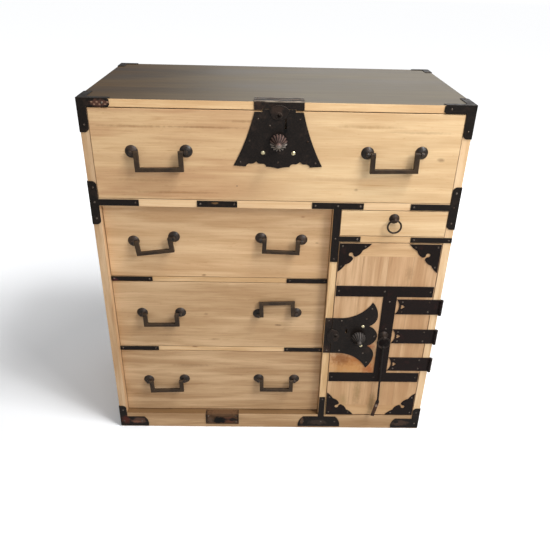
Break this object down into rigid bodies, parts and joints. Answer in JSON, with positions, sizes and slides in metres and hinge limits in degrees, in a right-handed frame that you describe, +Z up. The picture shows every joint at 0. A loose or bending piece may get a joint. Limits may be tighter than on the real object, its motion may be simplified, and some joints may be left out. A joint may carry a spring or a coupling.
{
  "type": "clothing chest",
  "caption": "Wooden clothing chest with iron corners, drawers with bail handles, a side-hung door with a hanging key, and push-knob locks.",
  "frame": {"origin": "on the floor, in the middle of the underside of the base rail that runs along the front", "axes": "+X to the right of someone facing the front, +Y to the back, +Z up"},
  "size_m": [0.9106, 0.5108, 0.9778],
  "materials": {
    "kiri_front": "oiled, pale",
    "kiri_side": "oiled, pale",
    "dark_top": "dark stained, worn sheen",
    "raw_kiri": "unfinished",
    "black_iron": "black lacquered, worn",
    "rust_iron": "worn and browned",
    "pale_brass": "worn"
  },
  "bodies": {
    "case": {"case_side_left": "kiri_side", "case_side_right": "kiri_side", "top_board": "dark_top", "bottom_board": "raw_kiri", "base_rail": "kiri_front", "back_boards": "raw_kiri", "mid_rail": "kiri_front", "lower_rails": "kiri_front", "dust_boards": "raw_kiri", "divider_board": "kiri_front", "stop_blocks": "raw_kiri", "corner_irons": "black_iron", "rail_straps": "black_iron", "divider_irons": "rust_iron", "base_centre_plate": "rust_iron", "side_hinge_leaves": "black_iron", "strike_plates": "black_iron", "case_nails": "black_iron"},
    "top_drawer": {"top_drawer_front": "kiri_front", "top_drawer_box": "raw_kiri", "top_drawer_handle_posts": "black_iron", "top_lock_plate": "black_iron", "top_lock_nails": "black_iron", "top_lock_studs": "pale_brass"},
    "upper_left_drawer": {"upper_left_drawer_front": "kiri_front", "upper_left_drawer_box": "raw_kiri", "upper_left_drawer_handle_posts": "black_iron"},
    "middle_left_drawer": {"middle_left_drawer_front": "kiri_front", "middle_left_drawer_box": "raw_kiri", "middle_left_drawer_handle_posts": "black_iron"},
    "lower_left_drawer": {"lower_left_drawer_front": "kiri_front", "lower_left_drawer_box": "raw_kiri", "lower_left_drawer_handle_posts": "black_iron"},
    "small_drawer": {"small_drawer_front": "kiri_front", "small_drawer_box": "raw_kiri", "small_drawer_ring_post": "black_iron"},
    "door": {"door_boards": "kiri_front", "door_irons": "black_iron", "door_hinge_leaves": "black_iron", "door_lock_plate": "black_iron", "door_nails": "black_iron", "door_lock_studs": "pale_brass", "door_pull_post": "black_iron"},
    "top_drawer_left_bail": {"top_drawer_left_bail": "black_iron"},
    "top_drawer_right_bail": {"top_drawer_right_bail": "black_iron"},
    "upper_left_drawer_left_bail": {"upper_left_drawer_left_bail": "black_iron"},
    "upper_left_drawer_right_bail": {"upper_left_drawer_right_bail": "black_iron"},
    "middle_left_drawer_left_bail": {"middle_left_drawer_left_bail": "black_iron"},
    "middle_left_drawer_right_bail": {"middle_left_drawer_right_bail": "black_iron"},
    "lower_left_drawer_left_bail": {"lower_left_drawer_left_bail": "black_iron"},
    "lower_left_drawer_right_bail": {"lower_left_drawer_right_bail": "black_iron"},
    "small_drawer_ring": {"small_drawer_ring": "black_iron"},
    "door_pull_ring": {"door_pull_ring": "black_iron"},
    "hanging_key": {"hanging_key": "rust_iron"},
    "top_lock_knob": {"top_lock_knob": "black_iron"},
    "top_lock_bolt": {"top_lock_bolt": "black_iron"},
    "top_keyhole_cover": {"top_keyhole_cover": "black_iron"},
    "door_lock_knob": {"door_lock_knob": "black_iron"},
    "door_lock_bolt": {"door_lock_bolt": "black_iron"},
    "door_keyhole_cover": {"door_keyhole_cover": "black_iron"}
  },
  "joints": [
    {"name": "top_drawer_slide", "type": "slide", "parent": "case", "child": "top_drawer", "axis": [0, -1, 0], "range_m": [0, 0.33]},
    {"name": "upper_left_drawer_slide", "type": "slide", "parent": "case", "child": "upper_left_drawer", "axis": [0, -1, 0], "range_m": [0, 0.33]},
    {"name": "middle_left_drawer_slide", "type": "slide", "parent": "case", "child": "middle_left_drawer", "axis": [0, -1, 0], "range_m": [0, 0.33]},
    {"name": "lower_left_drawer_slide", "type": "slide", "parent": "case", "child": "lower_left_drawer", "axis": [0, -1, 0], "range_m": [0, 0.33]},
    {"name": "small_drawer_slide", "type": "slide", "parent": "case", "child": "small_drawer", "axis": [0, -1, 0], "range_m": [0, 0.3]},
    {"name": "door_swing", "type": "hinge", "parent": "case", "child": "door", "pos_m": [0.4533, -0.0143, 0], "axis": [0, 0, 1], "range_deg": [0, 180]},
    {"name": "top_drawer_left_bail_swing", "type": "hinge", "parent": "top_drawer", "child": "top_drawer_left_bail", "pos_m": [-0.275, -0.024, 0.85675], "axis": [-0.9997, 0, -0.0227], "range_deg": [-10.4, 190.4]},
    {"name": "top_drawer_right_bail_swing", "type": "hinge", "parent": "top_drawer", "child": "top_drawer_right_bail", "pos_m": [0.2766, -0.024, 0.86255], "axis": [-0.9998, 0, -0.0209], "range_deg": [-10.4, 190.4]},
    {"name": "upper_left_drawer_left_bail_swing", "type": "hinge", "parent": "upper_left_drawer", "child": "upper_left_drawer_left_bail", "pos_m": [-0.30828, -0.004, 0.6215], "axis": [-0.9914, 0, -0.1305], "range_deg": [-13.4, 193.4]},
    {"name": "upper_left_drawer_right_bail_swing", "type": "hinge", "parent": "upper_left_drawer", "child": "upper_left_drawer_right_bail", "pos_m": [0.01773, -0.004, 0.6266], "axis": [-0.9995, 0, 0.0314], "range_deg": [-13.4, 193.4]},
    {"name": "middle_left_drawer_left_bail_swing", "type": "hinge", "parent": "middle_left_drawer", "child": "middle_left_drawer_left_bail", "pos_m": [-0.30488, -0.004, 0.3984], "axis": [-0.9998, 0, -0.0209], "range_deg": [-13.4, 193.4]},
    {"name": "middle_left_drawer_right_bail_swing", "type": "hinge", "parent": "middle_left_drawer", "child": "middle_left_drawer_right_bail", "pos_m": [0.01263, -0.004, 0.4006], "axis": [0.9991, 0, 0.0419], "range_deg": [0, 204.2]},
    {"name": "lower_left_drawer_left_bail_swing", "type": "hinge", "parent": "lower_left_drawer", "child": "lower_left_drawer_left_bail", "pos_m": [-0.30567, -0.004, 0.1667], "axis": [-0.9992, 0, -0.0401], "range_deg": [-13.4, 193.4]},
    {"name": "lower_left_drawer_right_bail_swing", "type": "hinge", "parent": "lower_left_drawer", "child": "lower_left_drawer_right_bail", "pos_m": [0.01562, -0.004, 0.1724], "axis": [-1, 0, 0], "range_deg": [-13.4, 193.4]},
    {"name": "small_drawer_ring_swing", "type": "hinge", "parent": "small_drawer", "child": "small_drawer_ring", "pos_m": [0.29652, -0.023, 0.696], "axis": [-1, 0, 0], "range_deg": [-15, 165]},
    {"name": "door_pull_ring_swing", "type": "hinge", "parent": "door", "child": "door_pull_ring", "pos_m": [0.30905, -0.0246, 0.34525], "axis": [-1, 0, 0], "range_deg": [0, 120]},
    {"name": "hanging_key_swing", "type": "hinge", "parent": "door_pull_ring", "child": "hanging_key", "pos_m": [0.30905, -0.0246, 0.31185], "axis": [-1, 0, 0], "range_deg": [-1, 60]},
    {"name": "top_lock_knob_push", "type": "slide", "parent": "top_drawer", "child": "top_lock_knob", "axis": [0, 1, 0], "range_m": [0, 0.008]},
    {"name": "top_lock_bolt_slide", "type": "slide", "parent": "top_drawer", "child": "top_lock_bolt", "axis": [0, 0, 1], "range_m": [0, 0.008]},
    {"name": "door_lock_knob_push", "type": "slide", "parent": "door", "child": "door_lock_knob", "axis": [0, 1, 0], "range_m": [0, 0.008]},
    {"name": "door_lock_bolt_slide", "type": "slide", "parent": "door", "child": "door_lock_bolt", "axis": [-1, 0, 0], "range_m": [0, 0.008]},
    {"name": "top_keyhole_cover_turn", "type": "hinge", "parent": "top_drawer", "child": "top_keyhole_cover", "pos_m": [0.0035, -0.013, 0.945], "axis": [0, 1, 0], "range_deg": [0, 150]},
    {"name": "door_keyhole_cover_turn", "type": "hinge", "parent": "door", "child": "door_keyhole_cover", "pos_m": [0.17555, -0.013, 0.34175], "axis": [0, 1, 0], "range_deg": [0, 150]}
  ],
  "couplings": [
    {"joint": "top_lock_bolt_slide", "follows": "top_lock_knob_push", "ratio": 1},
    {"joint": "door_lock_bolt_slide", "follows": "door_lock_knob_push", "ratio": 1}
  ]
}
